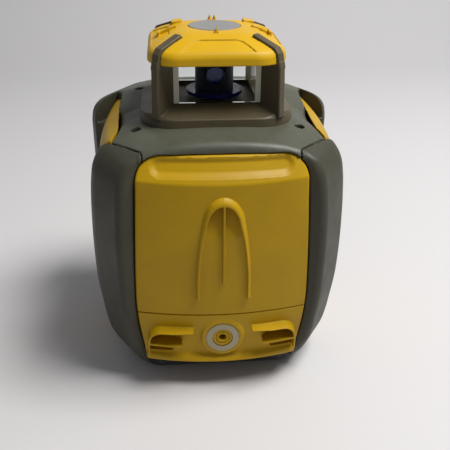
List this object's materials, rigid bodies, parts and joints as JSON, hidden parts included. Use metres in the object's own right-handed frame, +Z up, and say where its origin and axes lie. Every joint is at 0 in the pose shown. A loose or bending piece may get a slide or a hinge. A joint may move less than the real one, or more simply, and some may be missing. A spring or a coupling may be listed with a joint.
{
  "type": "rotating laser level",
  "caption": "Self-levelling rotating laser level: cornered rubber-bumper housing, glazed lighthouse with sun cap, gimbal and spinning prism head, keypad and battery door.",
  "frame": {"origin": "middle of the footprint, on the surface that the rubber feet stand on", "axes": "+Z up along the spin axis of the rotor, +Y towards the control side, -Y towards the rear mounting thread, +X to the right seen from the rear"},
  "size_m": [0.209, 0.203, 0.2738],
  "materials": {
    "yellow_shell": "satin moulded",
    "cap_yellow": "smooth moulded",
    "olive_shell": "fine textured moulding",
    "bumper_rubber": "soft touch overmould",
    "lighthouse_shell": "fine textured moulding",
    "base_plastic": "moulded",
    "insert_steel": "turned",
    "screw_steel": "zinc plated",
    "foot_rubber": "matt",
    "disc_grey": "smooth",
    "window_glass": "coated",
    "strip_cream": "smooth",
    "chassis_metal": "die cast",
    "board_green": "solder mask",
    "display_grey": "liquid crystal",
    "display_glass": "hard coated",
    "light_red": "translucent",
    "tray_black": "moulded",
    "cell_metal": "sleeved",
    "spring_steel": "nickel plated",
    "jack_black": "moulded",
    "jack_rubber": "matt",
    "motor_dark": "black",
    "lock_olive": "fine textured moulding",
    "key_rubber": "matt",
    "gimbal_metal": "machined",
    "barrel_metal": "anodised",
    "module_brass": "turned",
    "lens_glass": "coated",
    "copper_stator": "wound coils in resin",
    "bearing_steel": "ground",
    "sensor_green": "liquid filled",
    "rotor_black": "black anodised look",
    "encoder_blue": "coated",
    "prism_glass": "coated",
    "nut_brass": "turned"
  },
  "bodies": {
    "housing": {"top_cover": "olive_shell", "bumper_rear_left": "bumper_rubber", "bumper_rear_right": "bumper_rubber", "bumper_front_left": "bumper_rubber", "bumper_front_right": "bumper_rubber", "rear_panel": "yellow_shell", "rear_lower_panel": "yellow_shell", "side_panel_left": "yellow_shell", "side_panel_right": "yellow_shell", "front_panel": "yellow_shell", "base_plate": "base_plastic", "tripod_insert": "insert_steel", "wall_mount_insert": "insert_steel", "rubber_feet": "foot_rubber", "cover_screws": "screw_steel", "base_screws": "screw_steel", "lighthouse_frame": "lighthouse_shell", "sun_cap": "cap_yellow", "cap_disc": "disc_grey", "window_rear": "window_glass", "window_front": "window_glass", "window_left": "window_glass", "window_right": "window_glass", "window_strips": "strip_cream", "chassis": "chassis_metal", "main_board": "board_green", "key_board": "board_green", "display_module": "display_grey", "display_window": "display_glass", "status_lights": "light_red", "battery_tray": "tray_black", "battery_cells": "cell_metal", "contact_springs": "spring_steel", "charge_jack": "jack_black", "hinge_pin": "bearing_steel", "level_motors": "motor_dark"},
    "battery_door": {"battery_door": "yellow_shell"},
    "door_lock": {"door_lock": "lock_olive"},
    "jack_cap": {"jack_cap": "jack_rubber"},
    "key_power": {"key_power": "key_rubber"},
    "key_mode": {"key_mode": "key_rubber"},
    "key_left": {"key_left": "key_rubber"},
    "key_right": {"key_right": "key_rubber"},
    "key_up": {"key_up": "key_rubber"},
    "key_down": {"key_down": "key_rubber"},
    "gimbal_ring": {"gimbal_ring": "gimbal_metal"},
    "laser_barrel": {"laser_barrel": "barrel_metal", "laser_module": "module_brass", "collimator_lens": "lens_glass", "motor_stator": "copper_stator", "rotor_bearings": "bearing_steel", "level_sensors": "sensor_green"},
    "rotor": {"rotor_spindle": "bearing_steel", "rotor_housing": "rotor_black", "pentaprism": "prism_glass", "encoder_disc": "encoder_blue"},
    "level_nut_x": {"level_nut_x": "nut_brass"},
    "level_nut_y": {"level_nut_y": "nut_brass"},
    "level_screw_x": {"level_screw_x": "bearing_steel"},
    "level_screw_y": {"level_screw_y": "bearing_steel"}
  },
  "joints": [
    {"name": "tilt_x", "type": "hinge", "parent": "housing", "child": "gimbal_ring", "pos_m": [0, 0, 0.186], "axis": [1, 0, 0], "range_deg": [-5, 5]},
    {"name": "tilt_y", "type": "hinge", "parent": "gimbal_ring", "child": "laser_barrel", "pos_m": [0, 0, 0.186], "axis": [0, 1, 0], "range_deg": [-5, 5]},
    {"name": "rotor_spin", "type": "hinge", "parent": "laser_barrel", "child": "rotor", "pos_m": [0, 0, 0.22], "axis": [0, 0, 1], "continuous": true},
    {"name": "battery_door_hinge", "type": "hinge", "parent": "housing", "child": "battery_door", "pos_m": [-0.0505, 0.0895, 0.066], "axis": [0, 0, 1], "range_deg": [0, 110]},
    {"name": "door_lock_turn", "type": "hinge", "parent": "battery_door", "child": "door_lock", "pos_m": [0.0415, 0.0945, 0.066], "axis": [0, 1, 0], "range_deg": [0, 90]},
    {"name": "jack_cap_hinge", "type": "hinge", "parent": "housing", "child": "jack_cap", "pos_m": [-0.0909, 0.012, 0.045], "axis": [0, 0, -1], "range_deg": [0, 110]},
    {"name": "level_nut_x_slide", "type": "slide", "parent": "housing", "child": "level_nut_x", "axis": [1, 0, 0], "range_m": [-0.0066, 0.0066]},
    {"name": "level_nut_y_slide", "type": "slide", "parent": "housing", "child": "level_nut_y", "axis": [0, 1, 0], "range_m": [-0.0066, 0.0066]},
    {"name": "level_screw_x_turn", "type": "hinge", "parent": "housing", "child": "level_screw_x", "pos_m": [0.045, 0, 0.114], "axis": [1, 0, 0], "range_deg": [-395, 395]},
    {"name": "level_screw_y_turn", "type": "hinge", "parent": "housing", "child": "level_screw_y", "pos_m": [0, -0.045, 0.114], "axis": [0, 1, 0], "range_deg": [-395, 395]},
    {"name": "press_power", "type": "slide", "parent": "housing", "child": "key_power", "axis": [0, -1, 0], "range_m": [0, 0.0008], "stiffness_N_per_m": 400},
    {"name": "press_left", "type": "slide", "parent": "housing", "child": "key_left", "axis": [0, -1, 0], "range_m": [0, 0.0008], "stiffness_N_per_m": 400},
    {"name": "press_up", "type": "slide", "parent": "housing", "child": "key_up", "axis": [0, -1, 0], "range_m": [0, 0.0008], "stiffness_N_per_m": 400},
    {"name": "press_down", "type": "slide", "parent": "housing", "child": "key_down", "axis": [0, -1, 0], "range_m": [0, 0.0008], "stiffness_N_per_m": 400},
    {"name": "press_right", "type": "slide", "parent": "housing", "child": "key_right", "axis": [0, -1, 0], "range_m": [0, 0.0008], "stiffness_N_per_m": 400},
    {"name": "press_mode", "type": "slide", "parent": "housing", "child": "key_mode", "axis": [0, -1, 0], "range_m": [0, 0.0008], "stiffness_N_per_m": 400}
  ],
  "couplings": [
    {"joint": "level_nut_x_slide", "follows": "tilt_y", "m_per_rad": -0.072},
    {"joint": "level_nut_y_slide", "follows": "tilt_x", "m_per_rad": 0.072},
    {"joint": "level_screw_x_turn", "follows": "tilt_y", "ratio": -75.398},
    {"joint": "level_screw_y_turn", "follows": "tilt_x", "ratio": 75.398}
  ]
}
